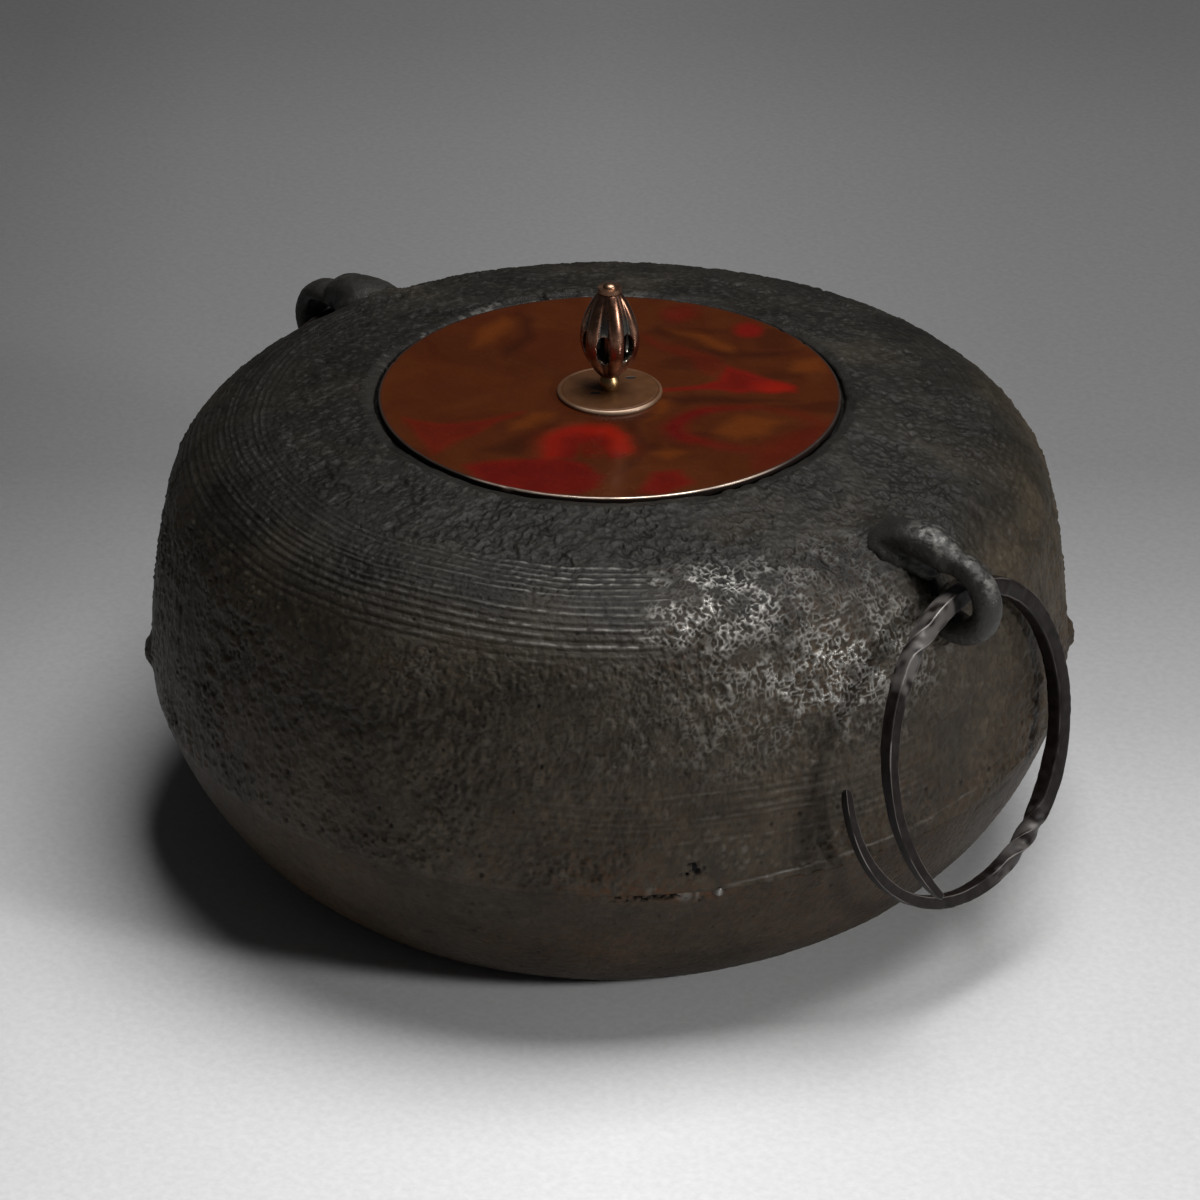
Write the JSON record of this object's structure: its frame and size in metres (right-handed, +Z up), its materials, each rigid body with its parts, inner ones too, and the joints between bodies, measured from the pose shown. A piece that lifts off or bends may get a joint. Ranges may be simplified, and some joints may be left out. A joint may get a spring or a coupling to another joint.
{
  "type": "tea kettle",
  "caption": "Squat round cast-iron tea-ceremony kettle with a lapped bottom pan, lugs with open forged rings, and a flat copper lid with a pierced bud knob.",
  "frame": {"origin": "centre of the flat underside of the bottom pan, on the axis of the kettle", "axes": "+Z up along the axis of the kettle, +X through the front lug and its ring, +Y completing a right-handed frame"},
  "size_m": [0.3041, 0.26, 0.1665],
  "materials": {
    "kettle_iron": "rough orange-peel casting skin with brushed bands, dark brown-grey",
    "pan_iron": "smoother casting skin with fine pits and rust-brown bloom",
    "forged_iron": "hammer-forged bar, satin, dark purple-brown",
    "lacquer_putty": "matt black lacquer filled with iron powder",
    "lid_copper": "copper with a mottled flame-red patina, glossy",
    "knob_copper": "copper with a dark red-brown patina, satin",
    "bead_brass": "plain brass, dulled"
  },
  "bodies": {
    "kettle": {"upper_shell": "kettle_iron", "bottom_pan": "pan_iron", "joint_putty": "lacquer_putty", "singing_irons": "kettle_iron", "front_lug": "kettle_iron", "rear_lug": "kettle_iron"},
    "lid": {"lid_plate": "lid_copper", "lid_flange": "lid_copper", "knob_washer": "knob_copper", "under_washer": "knob_copper"},
    "knob": {"knob_foot": "bead_brass", "knob_bud": "knob_copper", "knob_cap": "knob_copper", "knob_rivet": "knob_copper"},
    "front_ring": {"front_ring": "forged_iron"},
    "rear_ring": {"rear_ring": "forged_iron"}
  },
  "joints": [
    {"name": "lid_lift", "type": "slide", "parent": "kettle", "child": "lid", "axis": [0, 0, 1], "range_m": [0, 0.1]},
    {"name": "knob_turn", "type": "hinge", "parent": "lid", "child": "knob", "pos_m": [0, 0, 0.14], "axis": [0, 0, 1], "continuous": true},
    {"name": "front_ring_swing", "type": "hinge", "parent": "kettle", "child": "front_ring", "pos_m": [0.12697, 0, 0.11851], "axis": [0, -1, 0], "range_deg": [0, 220]},
    {"name": "rear_ring_swing", "type": "hinge", "parent": "kettle", "child": "rear_ring", "pos_m": [-0.12904, 0.01356, 0.11102], "axis": [0.1045, 0.9945, 0], "range_deg": [0, 210]}
  ]
}
